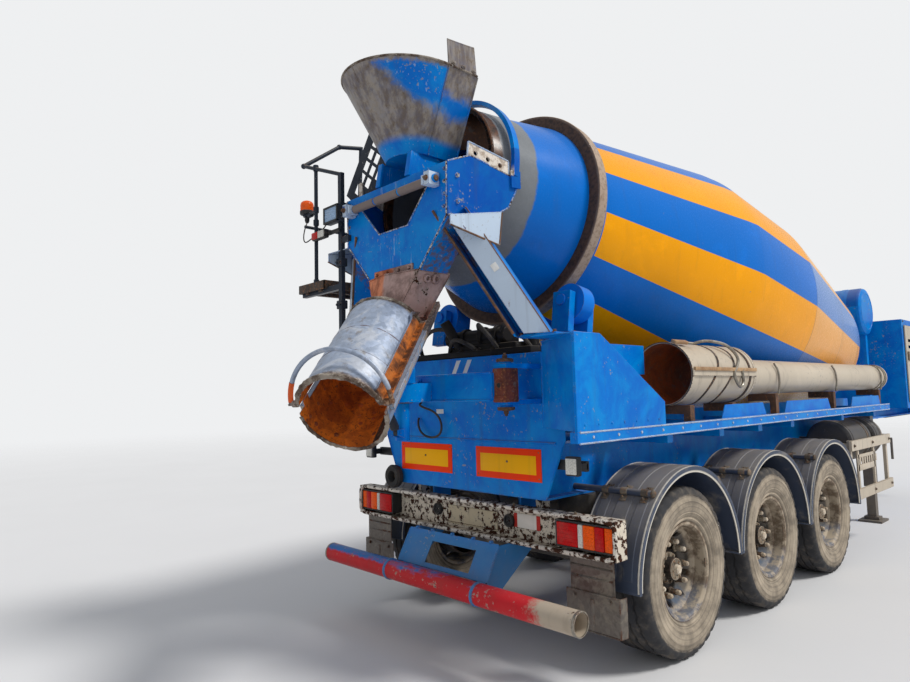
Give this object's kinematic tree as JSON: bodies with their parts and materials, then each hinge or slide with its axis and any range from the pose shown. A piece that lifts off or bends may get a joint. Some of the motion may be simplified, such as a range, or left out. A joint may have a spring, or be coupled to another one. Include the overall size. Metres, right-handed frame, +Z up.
{
  "type": "concrete mixer semi-trailer",
  "caption": "Three-axle semi-trailer with a tilted, striped mixing drum, hopper, swinging discharge chute, service platform and engine cabinet, parked on its landing legs.",
  "frame": {"origin": "centre of the bounding box on the ground", "axes": "+X forward towards the kingpin, +Y to the trailer's left, +Z up"},
  "size_m": [10.2079, 2.5, 3.907],
  "materials": {
    "blue_paint": "gloss, worn",
    "stripe_paint": "gloss, blue and yellow stripes",
    "white_paint": "satin, chipped",
    "cream_paint": "satin, worn",
    "red_paint": "satin, chipped",
    "dark_paint": "satin",
    "galvanised": "matt",
    "steel": "satin",
    "rusty_steel": "matt",
    "cast": "matt",
    "dusty_rim": "matt, dusty",
    "tyre": "dusty",
    "bellows": "matt",
    "guard_plastic": "dusty",
    "reflector": "retro-reflecting",
    "red_lens": "gloss",
    "amber_lens": "gloss"
  },
  "bodies": {
    "trailer": {"main_frame": "blue_paint", "side_rails": "blue_paint", "coupler_plate": "dark_paint", "kingpin": "steel", "rear_body": "blue_paint", "marking_boards": "reflector", "lamp_bar": "white_paint", "rear_lamps": "red_lens", "underrun_bar": "red_paint", "underrun_bracket": "blue_paint", "mud_flaps": "steel", "axles": "dark_paint", "air_springs": "bellows", "axle_hangers": "blue_paint", "mudguards": "guard_plastic", "side_guards": "white_paint", "round_tanks": "dark_paint", "landing_legs": "dark_paint", "front_pedestal": "blue_paint", "gearbox": "cast", "roller_bridge": "blue_paint", "hopper_frame": "blue_paint", "slotted_screen": "dark_paint", "mouth_arch": "blue_paint", "hopper": "blue_paint", "discharge_funnel": "rusty_steel", "chute_beam": "blue_paint", "spare_chute": "cream_paint", "spare_tube": "cream_paint", "spare_rack": "rusty_steel", "platform": "dark_paint", "beacon": "amber_lens", "work_lamp": "dark_paint", "water_tank": "blue_paint", "engine_cabinet": "blue_paint", "engine_block": "cast"},
    "drum": {"drum_shell": "stripe_paint", "drum_ring": "rusty_steel", "drum_blades": "rusty_steel"},
    "roller_right": {"roller_right": "steel"},
    "roller_left": {"roller_left": "steel"},
    "chute_post": {"chute_post": "blue_paint"},
    "chute": {"chute": "galvanised"},
    "jack_barrel": {"jack_barrel": "dark_paint"},
    "jack_rod": {"jack_rod": "steel"},
    "cabinet_door_right": {"cabinet_door_right": "cream_paint"},
    "cabinet_door_left": {"cabinet_door_left": "cream_paint"},
    "wheel_1_right": {"wheel_1_right": "dusty_rim", "tyre_1_right": "tyre"},
    "wheel_1_left": {"wheel_1_left": "dusty_rim", "tyre_1_left": "tyre"},
    "wheel_2_right": {"wheel_2_right": "dusty_rim", "tyre_2_right": "tyre"},
    "wheel_2_left": {"wheel_2_left": "dusty_rim", "tyre_2_left": "tyre"},
    "wheel_3_right": {"wheel_3_right": "dusty_rim", "tyre_3_right": "tyre"},
    "wheel_3_left": {"wheel_3_left": "dusty_rim", "tyre_3_left": "tyre"}
  },
  "joints": [
    {"name": "drum_spin", "type": "hinge", "parent": "trailer", "child": "drum", "pos_m": [-3.07603, 0, 2.966], "axis": [0.989, 0, -0.1478], "continuous": true},
    {"name": "roller_right_spin", "type": "hinge", "parent": "trailer", "child": "roller_right", "pos_m": [-3.18343, -0.60968, 2.24739], "axis": [0.989, 0, -0.1478], "continuous": true},
    {"name": "roller_left_spin", "type": "hinge", "parent": "trailer", "child": "roller_left", "pos_m": [-3.18343, 0.60968, 2.24739], "axis": [0.989, 0, -0.1478], "continuous": true},
    {"name": "chute_swing", "type": "hinge", "parent": "trailer", "child": "chute_post", "pos_m": [-4.19603, 0, 1.7], "axis": [0, 0, 1], "range_deg": [-105, 45]},
    {"name": "chute_tilt", "type": "hinge", "parent": "chute_post", "child": "chute", "pos_m": [-4.19603, 0, 1.85], "axis": [-0.5, 0.866, 0], "range_deg": [-7, 8]},
    {"name": "jack_swing", "type": "hinge", "parent": "chute_post", "child": "jack_barrel", "pos_m": [-4.28263, -0.05, 1.43], "axis": [-0.5, 0.866, 0], "range_deg": [-2.1, 2.4]},
    {"name": "jack_slide", "type": "slide", "parent": "jack_barrel", "child": "jack_rod", "axis": [-0.6386, -0.3687, 0.6754], "range_m": [-0.047, 0.054]},
    {"name": "door_right_hinge", "type": "hinge", "parent": "trailer", "child": "cabinet_door_right", "pos_m": [4.93797, -0.977, 1.9], "axis": [0, 0, 1], "range_deg": [0, 95]},
    {"name": "door_left_hinge", "type": "hinge", "parent": "trailer", "child": "cabinet_door_left", "pos_m": [4.93797, 0.977, 1.9], "axis": [0, 0, 1], "range_deg": [-95, 0]},
    {"name": "wheel_1_right_spin", "type": "hinge", "parent": "trailer", "child": "wheel_1_right", "pos_m": [-2.89603, -1.02, 0.52], "axis": [0, 1, 0], "continuous": true},
    {"name": "wheel_1_left_spin", "type": "hinge", "parent": "trailer", "child": "wheel_1_left", "pos_m": [-2.89603, 1.02, 0.52], "axis": [0, 1, 0], "continuous": true},
    {"name": "wheel_2_right_spin", "type": "hinge", "parent": "trailer", "child": "wheel_2_right", "pos_m": [-1.58603, -1.02, 0.52], "axis": [0, 1, 0], "continuous": true},
    {"name": "wheel_2_left_spin", "type": "hinge", "parent": "trailer", "child": "wheel_2_left", "pos_m": [-1.58603, 1.02, 0.52], "axis": [0, 1, 0], "continuous": true},
    {"name": "wheel_3_right_spin", "type": "hinge", "parent": "trailer", "child": "wheel_3_right", "pos_m": [-0.27603, -1.02, 0.52], "axis": [0, 1, 0], "continuous": true},
    {"name": "wheel_3_left_spin", "type": "hinge", "parent": "trailer", "child": "wheel_3_left", "pos_m": [-0.27603, 1.02, 0.52], "axis": [0, 1, 0], "continuous": true}
  ],
  "couplings": [
    {"joint": "roller_right_spin", "follows": "drum_spin", "ratio": -6.2923},
    {"joint": "roller_left_spin", "follows": "drum_spin", "ratio": -6.2923},
    {"joint": "jack_swing", "follows": "chute_tilt", "ratio": 0.28125},
    {"joint": "jack_slide", "follows": "chute_tilt", "m_per_rad": 0.37624}
  ]
}
